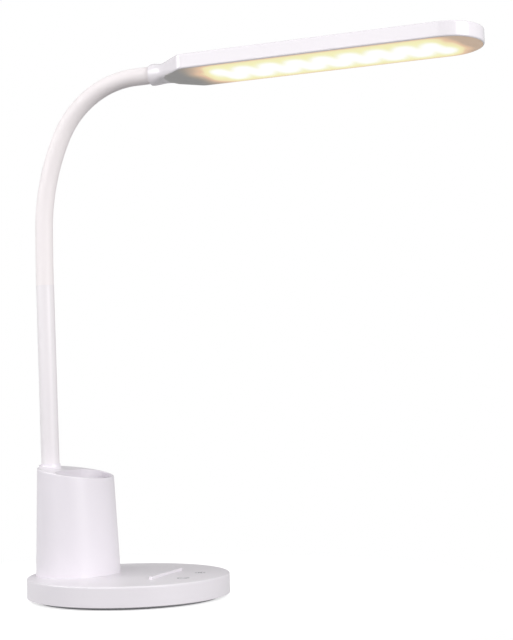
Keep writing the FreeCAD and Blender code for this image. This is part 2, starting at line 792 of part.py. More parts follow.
def pen_cup():
    """The oval pen cup. Its slanted rim flares up round the stem, which stands in its rear.

    The pens' room has rounded rear corners, in front of the stem. Two wells from underneath
    keep the thick rear from sinking as it cools.
    """
    outer = cup_loft("cup_outer", "base_top", "0", "cup_fillet")
    above = doc.addObject("Part::Box", "above_rim")
    bind(above, Length="cup_width * 2", Width="cup_width * 2", Height="cup_width")
    half = value("cup_width")
    middle = Vector(value("(rim_front + rim_rear) / 2"), 0, value("rim_level"))
    above.Placement = Placement(middle + rim_turn().multVec(Vector(-half, -half, 0)), rim_turn())
    spine = stem_cylinder("cup_spine", "stem_radius + spine_wall",
                          "base_top + (stem_radius + spine_wall) * sin(stem_lean * 1 deg)",
                          "collar_level")
    spine = boolean("Cut", "spine_to_rim", spine, above)
    solid = boolean("Fuse", "cup_solid", outer, spine)
    inner = cup_loft("cup_inner", "base_top + cup_floor", "cup_wall", "-cup_fillet")
    room = body("pen_room")
    side = "cup_width / 2 - cup_wall - room_spare"
    pad(outline(sketch_on(room, "XY_Plane", "0"), [
        ("rim_rear + cup_back", f"-({side})", "room_corner"), ("0", f"-({side})"),
        ("0", side), ("rim_rear + cup_back", side, "room_corner"),
    ]), "collar_level * 2")
    solid = boolean("Cut", "cup_open", solid, boolean("Common", "cup_hollow", inner, room))

    lip = "stem_radius + collar_lip"
    flare = turned("rim_flare", [
        ("0", "-collar_flare * 2"), (f"{lip} + collar_flare", "-collar_flare * 2"),
        (f"{lip} + collar_flare", "-collar_flare"),
        (lip, "-collar_flare", "collar_flare * 0.9"), (lip, "0"), ("0", "0"),
    ])
    flare.Placement = stem_axis_placement(value("collar_level"))
    solid = boolean("Fuse", "cup_flared", solid, boolean("Common", "flare_over_rim", flare, above))

    bore = stem_cylinder("stem_bore", "stem_radius + screw_fit", "stem_seat", "collar_level + 5")
    spigot = stem_cylinder("spigot_hole", "spigot_radius + screw_fit * 2", "0", "stem_seat + 1")
    solid = boolean("Cut", "cup_bored", boolean("Cut", "cup_seated", solid, bore), spigot)
    wells = body("cup_wells")
    drawn = sketch_on(wells, "XY_Plane", "base_top - 1")
    for side in ("-", ""):
        circle(drawn, "cup_foot_rear + well_inset", f"{side}well_y", "well_radius")
    pad(drawn, "rim_level - base_top - cup_floor")
    pilots = sketch_on(wells, "XY_Plane", "base_top - 1")
    for across, up in CUP_SCREWS:
        circle(pilots, across, up, "screw_shank + screw_fit")
    pad(pilots, "cup_floor * 0.85 + 1")
    return boolean("Cut", "pen_cup", solid, wells)


# ---------------------------------------------------------------- stem
def stem():
    """The straight tube on its seat in the cup, its threaded spigot, washer and nut."""
    lean = "cos(stem_lean * 1 deg)"
    top, seat = f"seam_z / {lean}", f"stem_seat / {lean}"
    end = f"spigot_end / {lean}"
    tube = turned("stem_tube", [
        ("spigot_bore", end), ("spigot_radius", end), ("spigot_radius", seat),
        ("stem_radius", seat), ("stem_radius", top), ("stem_radius - stem_wall", top),
        ("stem_radius - stem_wall", f"{seat} + 3"), ("spigot_bore", f"{seat} + 3"),
    ])
    tube.Placement = stem_axis_placement(0)
    under = "base_top - base_wall"
    washer = turned("stem_washer", [
        ("spigot_radius + 0.3", f"{under} - washer_thick"),
        ("washer_radius", f"{under} - washer_thick"),
        ("washer_radius", under), ("spigot_radius + 0.3", under),
    ])
    washer.Placement = Placement(Vector(value(STEM_FOOT_X), 0, 0), Rotation())
    nut = body("stem_nut")
    drawn = sketch_on(nut, "XY_Plane", f"{under} - washer_thick")
    hexagon(drawn, "nut_flats", 15)
    circle(drawn, "0", "0", "spigot_radius + 0.15")
    pad(drawn, "nut_tall", downwards=True)
    nut.Placement = Placement(Vector(value(STEM_FOOT_X) + 0.05, 0, 0), Rotation())


# ---------------------------------------------------------------- neck
def ball_profile(top):
    """Corners of a ball end that faces +Z, centred at a height, from the bore to its neck."""
    steps = (32, 60, 90)
    corners = [("link_bore", f"{top} + sqrt(ball_radius ^ 2 - link_bore ^ 2)")]
    corners += [(f"ball_radius * sin({a} deg)", f"{top} + ball_radius * cos({a} deg)")
                for a in steps if a > 35]
    corners += [("sqrt(ball_radius ^ 2 - shoulder_drop ^ 2)", f"{top} - shoulder_drop")]
    return corners


def link(label, start, finish, ball=True):
    """One rigid length of the conduit, from its socket on one joint to its ball on the next."""
    reach = (finish - start).Length
    cup_radius = "ball_radius + ball_gap"
    corners = [("link_bore", f"sqrt(({cup_radius}) ^ 2 - link_bore ^ 2)")]
    corners += [(f"({cup_radius}) * sin(57 deg)", f"({cup_radius}) * cos(57 deg)")]
    corners += [(f"sqrt(({cup_radius}) ^ 2 - skirt_rise ^ 2)", "skirt_rise"),
                ("link_radius", "skirt_rise")]
    if ball:
        corners += [("link_radius", f"{reach} - shoulder_drop")]
        corners += list(reversed(ball_profile(str(reach))))
    else:
        grip, end = "joint_last + ferrule_grip", "joint_last + thread_end"
        corners += [("link_radius", grip), ("thread_radius", grip), ("thread_radius", end),
                    ("thread_bore", end), ("thread_bore", grip), ("link_bore", f"{grip} - 1")]
    made = turned(label, corners)
    heading = math.atan2(finish.z - start.z, finish.x - start.x)
    made.Placement = along_neck(start, heading)
    return made


def neck_pieces():
    """The conduit: a root ferrule in the stem, links between the joints, a ferrule in the head."""
    joints = neck.joints()
    plug = "stem_radius - stem_wall - screw_fit"
    ferrule = turned("neck_root", [
        ("link_bore", "-25"), (plug, "-25"), (plug, "0"), ("link_radius", "0"),
        ("link_radius", "joint_first - shoulder_drop"),
        *reversed(ball_profile("joint_first")),
    ])
    ferrule.Placement = along_neck(*neck.at(0))
    for number, (start, finish) in enumerate(zip(joints, joints[1:]), start=1):
        link(f"conduit_link_{number:02d}", start, finish)
    end = neck.at(neck.length)
    link("neck_ferrule", joints[-1], end[0], ball=False)

    sleeve = doc.addObject("Part::Feature", "neck_sleeve")
    sleeve.Label = "neck_sleeve"
    sleeve.Shape = tube_along(0.05, neck.length + value("sleeve_entry"),
                              value("sleeve_radius"), value("sleeve_wall"))
    lead_along_neck()


def tube_along(start, finish, radius, wall=0):
    """A tube, or a rod if it has no wall, swept along the neck's centreline."""
    path = neck.wire(start, finish)
    point, heading = neck.at(start)
    facing = neck.towards(heading)
    rods = []
    for size in (radius, radius - wall) if wall else (radius,):
        ring = Part.Wire([Part.Circle(point, facing, size).toShape()])
        rods.append(path.makePipeShell([ring], True, False))
    return rods[0].cut(rods[1]) if wall else rods[0]


def lead_along_neck():
    """The lamp's lead: from the control board under the nut, up the stem and neck to the head."""
    low = value("pad_thick + plate_thick + lead_radius + 0.5")
    start = on_board(2, value("board_wide / 2"), value("board_level + board_thick / 2"))
    away = on_board(2, value("board_wide / 2 + stem_radius * 1.35"), low)
    above = -value("seam_z - stem_seat * 3")
    round_lead("neck_lead", [start, away, Vector(value(STEM_FOOT_X), 0, low), neck.at(above)[0]],
               neck.wire(above, neck.length + value("led_board_start") - 4).Edges)


# ---------------------------------------------------------------- head
HEAD_SECTIONS = (
    # distance from the collar's mouth, half width, half thickness, corner radius
    ("0", "collar_radius", "collar_radius", "collar_radius - 0.2"),
    ("root_shoulder * 0.15", "collar_radius * 1.14", "collar_radius * 0.95",
     "collar_radius * 0.9"),
    ("root_shoulder * 0.32", "head_half_width * 0.415", "head_half_thick * 1.02",
     "head_half_thick * 0.83"),
    ("root_shoulder * 0.57", "head_half_width * 0.619", "head_half_thick",
     "head_half_thick * 0.6"),
    ("root_shoulder * 0.815", "head_half_width * 0.853", "head_half_thick",
     "head_half_thick * 0.33"),
    ("root_shoulder * 0.887", "head_half_width * 0.922", "head_half_thick",
     "head_edge * 1.2"),
    ("root_shoulder * 0.94", "head_half_width * 0.962", "head_half_thick", "head_edge"),
    ("root_shoulder", "head_half_width * 0.989", "head_half_thick", "head_edge"),
    ("root_shoulder * 1.075", "head_half_width", "head_half_thick", "head_edge"),
)


def head_section(owner, place, wide, thick, corner):
    """A rounded rectangle across the head."""
    drawn = sketch_on(owner, "YZ_Plane", place)
    return outline(drawn, [
        (f"-({wide})", f"-({thick})", corner), (wide, f"-({thick})", corner),
        (wide, thick, corner), (f"-({wide})", thick, corner),
    ])


def plan_outline(drawn, inset, root):
    """The head's plan inside its wall: a nose at the root, slanted cheeks, a round end.

    The cheeks run at root_slope across per length, up to the rounded shoulders.
    """
    side = f"(head_half_width - {inset})"
    tip = f"head_length - {inset}"
    shoulder = f"(root_shoulder - 1 + {inset} * 0.342)"
    cheek = f"({root} + nose_depth)"
    spread = f"({side} - ({shoulder} - {cheek}) * root_slope)"
    round_off = "root_shoulder * 0.3"
    return outline(drawn, [
        (root, f"-{spread} * 0.45", "nose_depth / 2"), (cheek, f"-{spread}", "nose_depth / 4"),
        (shoulder, f"-{side}", round_off), (tip, f"-{side}", f"{side} - 0.2"),
        (tip, side, f"{side} - 0.2"), (shoulder, side, round_off),
        (cheek, spread, "nose_depth / 4"), (root, f"{spread} * 0.45", "nose_depth / 2"),
    ])


def head_housing():
    """The head moulding: a round collar that spreads into a long flat shell with a round end."""
    shell = body("head_housing")
    sections = [head_section(shell, *numbers) for numbers in HEAD_SECTIONS]
    spread = shell.newObject("PartDesign::AdditiveLoft", "head_spread")
    spread.Profile = sections[0]
    spread.Sections = sections[1:]
    doc.recompute()
    blade = head_section(shell, *HEAD_SECTIONS[-1])
    pad(blade, "head_length - head_half_width - root_shoulder * 1.075")
    tip = sketch_on(shell, "YZ_Plane", "head_length - head_half_width")
    outline(tip, [
        ("0", "-head_half_thick"), ("head_half_width", "-head_half_thick", "head_edge"),
        ("head_half_width", "head_half_thick", "head_edge"), ("0", "head_half_thick"),
    ])
    turn = shell.newObject("PartDesign::Revolution", "head_tip")
    turn.Profile = tip
    turn.ReferenceAxis = (tip, ["V_Axis"])
    turn.Angle = 180
    turn.Reversed = True
    doc.recompute()
    step = plan_outline(sketch_on(shell, "XY_Plane", "-head_half_thick - 3"), "head_rim",
                        "diffuser_root")
    pocket(step, "diffuser_thick + 3", upwards=True)
    hollow = plan_outline(
        sketch_on(shell, "XY_Plane", "-head_half_thick + diffuser_thick"),
        "(head_rim + head_skin)", "cavity_root")
    pocket(hollow, "head_half_thick * 2 - diffuser_thick - head_skin", upwards=True)
    mouth = sketch_on(shell, "YZ_Plane", "0")
    circle(mouth, "0", "0", "sleeve_radius + collar_gap")
    pocket(mouth, "sleeve_entry + collar_gap", upwards=True)
    bore = sketch_on(shell, "YZ_Plane", "0")
    circle(bore, "0", "0", "link_radius + screw_fit")
    pocket(bore, "ferrule_grip", upwards=True)
    channel = sketch_on(shell, "YZ_Plane", "0")
    circle(channel, "0", "0", "thread_radius + screw_fit")
    pocket(channel, "cavity_root + 3", upwards=True)
    return shell


def diffuser():
    """The milky plate set flush in the head's underside."""
    plate = body("diffuser")
    drawn = plan_outline(sketch_on(plate, "XY_Plane", "-head_half_thick"),
                         "(head_rim + diffuser_fit)", "diffuser_root + diffuser_fit")
    pad(drawn, "diffuser_thick")
    return plate


def led_board():
    """The aluminium board stuck under the head's skin, round at its far end."""
    board = body("led_board")
    high = "head_half_thick - head_skin"
    drawn = sketch_on(board, "XY_Plane", high)
    half = "led_board_wide / 2"
    outline(drawn, [
        ("led_board_start", f"-({half})", "3"), ("led_board_end", f"-({half})", "8"),
        ("led_board_end", half, "8"), ("led_board_start", half, "3"),
    ])
    pad(drawn, "led_board_thick", downwards=True)
    return board


def led_chips():
    """Two rows of LED packages on the board's underside."""
    chip = body("led_chip")
    half = "led_size / 2"
    drawn = sketch_on(chip, "XY_Plane", "0")
    rectangle(drawn, f"-({half})", half, f"-({half})", half)
    pad(drawn, "led_tall", downwards=True)
    level = value("head_half_thick - head_skin - led_board_thick")
    pitch, first = value("led_pitch"), value("led_first")
    rows, offset = value("led_rows"), value("led_offset")
    return copies("led_chips", chip.Shape, [
        Placement(Vector(first + pitch * k, offset + side * rows / 2, level), Rotation())
        for k in range(round(value("led_count"))) for side in (-1, 1)])


def head_pieces():
    """Builds the head along its own X axis, then sets it on the end of the neck."""
    point, heading = neck.at(neck.length)
    place = Placement(point, Rotation(Vector(0, 1, 0), -math.degrees(heading)))
    for piece in (head_housing(), diffuser(), led_board(), led_chips(), neck_nut()):
        piece.Placement = place.multiply(piece.Placement)


def neck_nut():
    """The nut that holds the neck's threaded end, inside the head."""
    nut = body("neck_nut")
    drawn = hexagon(sketch_on(nut, "YZ_Plane", "cavity_root"), "neck_nut_flats", 0)
    circle(drawn, "0", "0", "thread_radius + screw_fit")
    pad(drawn, "neck_nut_tall")
    return nut


# ---------------------------------------------------------------- build and export
PIECES = (
    "base_shell", "bottom_plate", "foot_pad", "counterweight", "battery", "control_board",
    "board_spacers", "usb_inlet", "touch_board", "touch_springs", "touch_legs",
    "base_screws", "weight_screws", "cup_screws", "battery_lead", "touch_lead",
    "phone_ledge", "pen_cup", "stem_tube", "stem_washer", "stem_nut", "neck_root",
    *[f"conduit_link_{n:02d}" for n in range(1, LINK_JOINTS)],
    "neck_ferrule", "neck_sleeve", "neck_lead",
    "head_housing", "diffuser", "led_board", "led_chips",
    "neck_nut",
)

base_shell()
bottom_plate()
foot_pad()
fasteners()
counterweight()
battery()
control_board()
board_posts()
usb_inlet()
touch_pieces()
leads()
phone_ledge()
pen_cup()
stem()
neck_pieces()
head_pieces()
doc.recompute()

broken = [o.Name for o in doc.Objects if {"Invalid", "Error"} & set(o.State)]
if broken:
    raise RuntimeError(f"these objects failed: {broken}")
os.makedirs("parts", exist_ok=True)
for piece in PIECES:
    shape = doc.getObjectsByLabel(piece)[0].Shape
    if shape.isNull() or not shape.isValid():
        raise RuntimeError(f"{piece} has no valid shape")
for piece in PIECES:
    doc.getObjectsByLabel(piece)[0].Shape.exportStep(f"parts/{piece}.step")
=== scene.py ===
import math

import bmesh
import bpy
from mathutils import Matrix, Vector


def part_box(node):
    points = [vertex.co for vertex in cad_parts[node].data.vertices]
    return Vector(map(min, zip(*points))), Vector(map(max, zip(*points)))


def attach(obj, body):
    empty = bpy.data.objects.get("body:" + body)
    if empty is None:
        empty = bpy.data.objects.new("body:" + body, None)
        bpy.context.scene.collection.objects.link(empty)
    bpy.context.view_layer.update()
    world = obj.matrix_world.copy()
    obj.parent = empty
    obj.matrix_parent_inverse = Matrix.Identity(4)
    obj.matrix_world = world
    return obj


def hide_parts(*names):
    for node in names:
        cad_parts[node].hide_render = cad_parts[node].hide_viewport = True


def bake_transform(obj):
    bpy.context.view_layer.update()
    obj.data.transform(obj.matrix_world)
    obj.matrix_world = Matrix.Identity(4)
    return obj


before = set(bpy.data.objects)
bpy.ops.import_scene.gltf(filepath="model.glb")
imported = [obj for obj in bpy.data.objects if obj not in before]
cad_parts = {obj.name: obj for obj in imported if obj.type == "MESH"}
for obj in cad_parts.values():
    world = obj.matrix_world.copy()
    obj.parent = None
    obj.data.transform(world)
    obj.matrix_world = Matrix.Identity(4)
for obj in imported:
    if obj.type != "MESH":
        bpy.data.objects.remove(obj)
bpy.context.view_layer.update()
bpy.ops.object.select_all(action="DESELECT")


# ---------------------------------------------------------------- camera
# The view from the lamp's right, a little to the front, from just above the base. It stands
# about a metre away with a long lens, and leans by a degree.
camera_place = (0.40375, -0.88472, 0.12690)
camera_lens = 74.82
yaw, pitch, roll = math.radians(18.893), math.radians(4.173), math.radians(1.206)
turn = Matrix.Rotation(yaw, 4, "Z") @ Matrix.Rotation(math.pi / 2 + pitch, 4, "X")
turn = turn @ Matrix.Rotation(-roll, 4, "Z")
eye = bpy.data.cameras.new("camera")
eye.lens = camera_lens
camera = bpy.data.objects.new("camera", eye)
camera.matrix_world = Matrix.Translation(camera_place) @ turn
bpy.context.collection.objects.link(camera)
bpy.context.scene.camera = camera
bpy.context.scene.view_settings.view_transform = "Standard"


# ---------------------------------------------------------------- desk
# A pale desk top under the lamp, which takes only its shadow and fades out to white all round.
# From below it can be seen through, so that the lamp's foot shows.
class Wire:
    """A socket that Python's own operators work on. Each of them adds its Math node."""

    def __init__(self, tree, socket):
        self.tree, self.socket = tree, socket

    def math(self, operation, *others):
        return node(self.tree, "ShaderNodeMath", {"operation": operation}, (self, *others))

    def __add__(self, other):
        return self.math("ADD", other)

    def __sub__(self, other):
        return self.math("SUBTRACT", other)

    def __mul__(self, other):
        return self.math("MULTIPLY", other)

    def __truediv__(self, other):
        return self.math("DIVIDE", other)

    def __rsub__(self, other):
        return (self * -1) + other

    def __gt__(self, other):
        return self.math("GREATER_THAN", other)

    __radd__ = __add__
    __rmul__ = __mul__

    def parts(self):
        """The x, y and z of a vector."""
        return node(self.tree, "ShaderNodeSeparateXYZ", {}, (self,), out=(0, 1, 2))

    def rise(self, low, high):
        """0 below low, 1 above high, smooth between."""
        settings = {"interpolation_type": "SMOOTHSTEP"}
        return node(self.tree, "ShaderNodeMapRange", settings, (self, low, high))

    def ramp(self, *stops):
        """A colour for each (place, colour)."""
        return node(self.tree, "ShaderNodeValToRGB", {"stops": stops}, (self,))


def node(tree, kind, settings, sockets, out=0):
    """Adds a node: first its settings, then its sockets, in order or by name or number.

    It returns the output that out names, or a list where out is a tuple.
    """
    made = tree.nodes.new(kind)
    for name, setting in settings.items():
        if name == "stops":
            ramp = made.color_ramp
            while len(ramp.elements) < len(setting):
                ramp.elements.new(0.5)
            for element, (place, colour) in zip(ramp.elements, setting):
                element.position = place
                element.color = (*colour, 1)
        else:
            setattr(made, name, setting)
    named = sockets.items() if isinstance(sockets, dict) else enumerate(sockets)
    for name, item in named:
        socket = made.inputs[name]
        if isinstance(item, Wire):
            tree.links.new(item.socket, socket)
        elif socket.type == "RGBA":
            socket.default_value = (*item, 1)
        else:
            socket.default_value = item
    if isinstance(out, tuple):
        return [Wire(tree, made.outputs[name]) for name in out]
    return Wire(tree, made.outputs[out]) if made.outputs else None


def mix(tree, share, low, high):
    """Colour low where the share is 0, and high where it is 1."""
    factor, first, second, blended = 0, 6, 7, 2
    sockets = {factor: share, first: low, second: high}
    return node(tree, "ShaderNodeMix", {"data_type": "RGBA"}, sockets, out=blended)


def place_on(tree):
    """A material's place on the piece, in metres."""
    return node(tree, "ShaderNodeTexCoord", {}, (), out="Object")


def kind_of_ray(tree):
    """1 for a ray from the camera, for a mirrored one and for one that went through."""
    names = ("Is Camera Ray", "Is Glossy Ray", "Is Transmission Ray")
    return node(tree, "ShaderNodeLightPath", {}, (), out=names)


desk_size, desk_drop = 12, 0.0002
fade_start, fade_end = 0.1, 0.3
desk_bounce, desk_seen = (0.37, 0.37, 0.37), (0.8, 0.8, 0.8)
bpy.ops.mesh.primitive_plane_add(size=desk_size, location=(0, 0, -desk_drop))
desk = bpy.context.object
desk.name = "desk"
desk_white = bpy.data.materials.new("desk_white")
desk_white.use_nodes = True
tree = desk_white.node_tree
tree.nodes.clear()
seen, mirrored, through = kind_of_ray(tree)
x, y, z = place_on(tree).parts()
away = (x * x + y * y).math("SQRT").rise(fade_start, fade_end)
top_paint = node(tree, "ShaderNodeBsdfDiffuse", {},
                 {"Color": mix(tree, seen, desk_bounce, desk_seen)})
haze_level = seen * 0.62 + mirrored.math("MAXIMUM", through) * 0.4
haze = node(tree, "ShaderNodeEmission", {}, {"Strength": haze_level})
near = node(tree, "ShaderNodeAddShader", {}, (top_paint, haze))
plain = node(tree, "ShaderNodeEmission", {}, ())
above = node(tree, "ShaderNodeMixShader", {}, (away * seen, near, plain))
clear = node(tree, "ShaderNodeBsdfTransparent", {}, ())
below = node(tree, "ShaderNodeNewGeometry", {}, (), out="Backfacing")
one_sided = node(tree, "ShaderNodeMixShader", {}, (below, above, clear))
node(tree, "ShaderNodeOutputMaterial", {}, {"Surface": one_sided})
desk.data.materials.append(desk_white)


# ---------------------------------------------------------------- light
# A white room, and three soft lamps that stand left, right and in front, above the head's
# level. The right one is the strongest.
world = bpy.data.worlds.new("studio")
world.use_nodes = True
bpy.context.scene.world = world
tree = world.node_tree
tree.nodes.clear()
seen, mirrored, through = kind_of_ray(tree)
room_level = seen * 0.52 + mirrored.math("MAXIMUM", through) * 0.02 + 0.48
room = node(tree, "ShaderNodeBackground", {}, {"Color": (1, 1, 1), "Strength": room_level})
node(tree, "ShaderNodeOutputWorld", {}, {"Surface": room})
object_middle = Vector((0.05, 0, 0.22))


def softbox(name, place, size, watts):
    """A square soft lamp, turned to the middle of the object."""
    bpy.ops.object.light_add(type="AREA", location=place)
    lamp = bpy.context.object
    lamp.name = name
    lamp.data.size = size
    lamp.data.energy = watts
    aim = object_middle - Vector(place)
    lamp.rotation_euler = aim.to_track_quat("-Z", "Y").to_euler()


softbox("left_softbox", (-1.2, -0.7, 0.75), size=0.9, watts=11)
softbox("right_softbox", (2.1, -0.95, 1.0), size=1.2, watts=39)
softbox("front_softbox", (-0.55, -1.7, 0.9), size=1.2, watts=7.6)


# ---------------------------------------------------------------- base moulding and ledge
# The disc and the bar that a phone leans against, both injection-moulded in white ABS. The
# mould is satin with a faint orange peel, and the bar's two pegs press into the disc.
def speckle(tree, spot, scale, detail=2.0):
    """Noise of a given scale per metre, from 0 to 1."""
    sockets = {"Vector": spot, "Scale": scale, "Detail": detail}
    return node(tree, "ShaderNodeTexNoise", {}, sockets)


def finish(name, **constant):
    """A Principled material with plain numbers on the sockets that are named."""
    made = bpy.data.materials.new(name)
    made.use_nodes = True
    shader = made.node_tree.nodes["Principled BSDF"]
    for socket, number in constant.items():
        shader.inputs[socket.replace("_", " ")].default_value = number
    return made, made.node_tree


def feed(tree, **wires):
    """Links wires to the Principled sockets of a material."""
    shader = tree.nodes["Principled BSDF"]
    for socket, wire in wires.items():
        tree.links.new(wire.socket, shader.inputs[socket.replace("_", " ")])


def bump(tree, height, depth, strength):
    """The normal of a surface whose height swings by a depth in metres."""
    sockets = {"Strength": strength, "Distance": depth, "Height": height}
    return node(tree, "ShaderNodeBump", {}, sockets, out="Normal")


def dress(material, *names):
    """Gives CAD nodes a material, in place of their plain one."""
    for name in names:
        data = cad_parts[name].data
        data.materials.clear()
        data.materials.append(material)


base_shade, base_light = (0.77, 0.737, 0.78), (0.79, 0.756, 0.797)
white, tree = finish("moulded_white", Coat_Roughness=0.3, IOR=1.5)
spot = place_on(tree)
cloud = speckle(tree, spot, 14, 3)
peel = speckle(tree, spot, 900)
feed(tree,
     Base_Color=cloud.ramp((0.35, base_shade), (0.65, base_light)),
     Roughness=cloud * 0.08 + peel * 0.03 + 0.32,
     Coat_Weight=cloud * 0.1 + 0.15,
     Normal=bump(tree, peel, 0.00003, 0.35))
dress(white, "base_shell", "phone_ledge")


# ---------------------------------------------------------------- head
# The long shell over the LEDs, of the same ABS. Its blade is glossier than the base, from
# polish in the mould. Its white is painted a little lighter than the base's: painted light on
# the head.
# Painted light: a lighter white than the base's, though the shell is the same ABS.
head_lightened_low, head_lightened_high = (0.81, 0.775, 0.815), (0.83, 0.792, 0.832)
polished_and_painted_lit, tree = finish("head_white_painted_lit", Coat_Roughness=0.1, IOR=1.5)
spot = place_on(tree)
cloud = speckle(tree, spot, 12, 3)
peel = speckle(tree, spot, 800)
feed(tree,
     Base_Color=cloud.ramp((0.35, head_lightened_low), (0.65, head_lightened_high)),
     Roughness=cloud * 0.08 + peel * 0.03 + 0.18,
     Coat_Weight=cloud * 0.1 + 0.35,
     Normal=bump(tree, peel, 0.00003, 0.3))
dress(polished_and_painted_lit, "head_housing")


# ---------------------------------------------------------------- pen cup
# The oval cup, moulded with its floor and the boss behind it, and screwed to the base from
# below. Its satin is a little finer, and its white leans to lilac.
cup_shade, cup_light = (0.78, 0.742, 0.793), (0.8, 0.761, 0.812)
cup, tree = finish("cup_white", Coat_Roughness=0.2, IOR=1.5)
spot = place_on(tree)
cloud = speckle(tree, spot, 16, 3)
peel = speckle(tree, spot, 1400)
feed(tree,
     Base_Color=mix(tree, cloud.rise(0.3, 0.7), cup_shade, cup_light),
     Roughness=cloud * 0.08 + peel * 0.04 + 0.27,
     Coat_Weight=cloud * 0.1 + 0.2,
     Normal=bump(tree, peel, 0.00003, 0.4))
dress(cup, "pen_cup", "board_spacers", "touch_legs")


# ---------------------------------------------------------------- stem
# A straight steel tube in smooth white paint. Its thin foot goes through the cup and the base,
# and a nut clamps it there.
paint_shade, paint_light = (0.795, 0.76, 0.787), (0.815, 0.778, 0.803)
paint, tree = finish("stem_paint", Coat_Weight=0.15, Coat_Roughness=0.2, IOR=1.5)
spot = place_on(tree)
cloud = speckle(tree, spot, 20, 3)
feed(tree,
     Base_Color=cloud.ramp((0.3, paint_shade), (0.7, paint_light)),
     Roughness=cloud * 0.08 + 0.36,
     Normal=bump(tree, speckle(tree, spot, 500), 0.00003, 0.4))
dress(paint, "stem_tube")


# ---------------------------------------------------------------- neck sleeve
# One matte silicone tube, pulled over the steel hose and a little slimmer towards the head.
# It is made in lengths, one for each hinge of the hose, cut midway between hinges.
neck_foot, neck_lean = Vector((-0.0654, 0, 0.228)), math.radians(91.34)
neck_arcs = ((0.0429, math.radians(1.74)), (0.0702, math.radians(24.51)),
             (0.0770, math.radians(64.49)), (0.0128, 0.0))
neck_long = sum(long for long, turning in neck_arcs)
hinge_count, first_hinge, last_hinge = 14, 0.008, neck_long - 0.0075
hinge_step = (last_hinge - first_hinge) / (hinge_count - 1)
sleeve_radius, sleeve_slims, sleeve_wall = 0.0066, 0.00025, 0.0011
seam_gap, sleeve_in_collar = 0.00005, 0.005


def centreline(along):
    """(point, direction) of the neck at a length from the sleeve's lower end."""
    point, heading = neck_foot.copy(), neck_lean
    for long, turning in neck_arcs:
        step = min(along, long)
        if step <= 0:
            break
        swept = turning * step / long
        middle = heading - swept / 2
        chord = 2 * long / turning * math.sin(swept / 2) if swept else step
        point += Vector((math.cos(middle), 0, math.sin(middle))) * chord
        heading -= swept
        along -= step
    direction = Vector((math.cos(heading), 0, math.sin(heading)))
    return point + direction * max(along, 0), direction


def meshed(name, curve):
    """A curve as a mesh object, selected and active."""
    piece = bpy.data.objects.new(name, curve)
    bpy.context.collection.objects.link(piece)
    bpy.ops.object.select_all(action="DESELECT")
    piece.select_set(True)
    bpy.context.view_layer.objects.active = piece
    bpy.ops.object.convert(target="MESH")
    return bpy.context.object


def neck_piece(name, start, end, radius, wall=0.0):
    """A length of tube or rod along the neck, as a bevelled Bezier made a mesh."""
    arc_ends = [sum(long for long, turning in neck_arcs[:k + 1]) for k in range(len(neck_arcs))]
    clear_of_end = 1e-4
    stops = [start]
    stops += [edge for edge in arc_ends if start + clear_of_end < edge < end - clear_of_end]
    stops += [end]
    curve = bpy.data.curves.new(name, "CURVE")
    curve.dimensions = "3D"
    curve.bevel_depth = 1.0
    curve.bevel_resolution = 10 if wall else 2
    curve.resolution_u = 8
    curve.use_fill_caps = not wall
    spline = curve.splines.new("BEZIER")
    spline.bezier_points.add(len(stops) - 1)
    end_handle = 0.002
    for i, (bead, stop) in enumerate(zip(spline.bezier_points, stops)):
        point, direction = centreline(stop)
        before = (stop - stops[i - 1]) / 3 if i else end_handle
        after = (stops[i + 1] - stop) / 3 if i + 1 < len(stops) else end_handle
        bead.co = point
        bead.handle_left = point - direction * before
        bead.handle_right = point + direction * after
        bead.radius = radius(stop) if callable(radius) else radius
    piece = meshed(name, curve)
    if wall:
        thick = piece.modifiers.new("wall", "SOLIDIFY")
        thick.thickness = wall
        thick.offset = -1
        bpy.ops.object.modifier_apply(modifier="wall")
    bpy.ops.object.mode_set(mode="EDIT")
    bpy.ops.mesh.select_all(action="SELECT")
    bpy.ops.mesh.remove_doubles(threshold=1e-6)
    bpy.ops.mesh.normals_make_consistent(inside=False)
    bpy.ops.object.mode_set(mode="OBJECT")
    bpy.ops.object.shade_smooth_by_angle(angle=math.radians(40))
    return piece


def bend_with_links(piece, k, cuts):
    """Bakes the piece's place into its mesh; it finds the neck's points at the cuts by hinge k
    but doesn't use them.
    """
    low, high = centreline(cuts[k])[0], centreline(cuts[k + 1])[0]
    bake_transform(piece)


silicone_shade, silicone_light = (0.83, 0.78, 0.792), (0.85, 0.80, 0.81)
silicone, tree = finish("silicone", Coat_Weight=0.0, IOR=1.45, Sheen_Weight=0.08)
spot = place_on(tree)
cloud = speckle(tree, spot, 18, 3)
grain = speckle(tree, spot, 1600)
feed(tree,
     Base_Color=cloud.ramp((0.3, silicone_shade), (0.7, silicone_light)),
     Roughness=cloud * 0.1 + grain * 0.05 + 0.42,
     Normal=bump(tree, grain, 0.00002, 0.25))

hinges = [first_hinge + hinge_step * k for k in range(hinge_count)]
midways = [(a + b) / 2 for a, b in zip(hinges, hinges[1:])]
cuts = [seam_gap] + midways + [neck_long + sleeve_in_collar]
for k in range(hinge_count):
    piece = neck_piece(f"sleeve_{k + 1:02d}", cuts[k], cuts[k + 1],
                       lambda along: sleeve_radius - sleeve_slims * along / neck_long,
                       sleeve_wall)
    piece.data.materials.append(silicone)
    bend_with_links(piece, k, cuts)
    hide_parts("neck_sleeve")
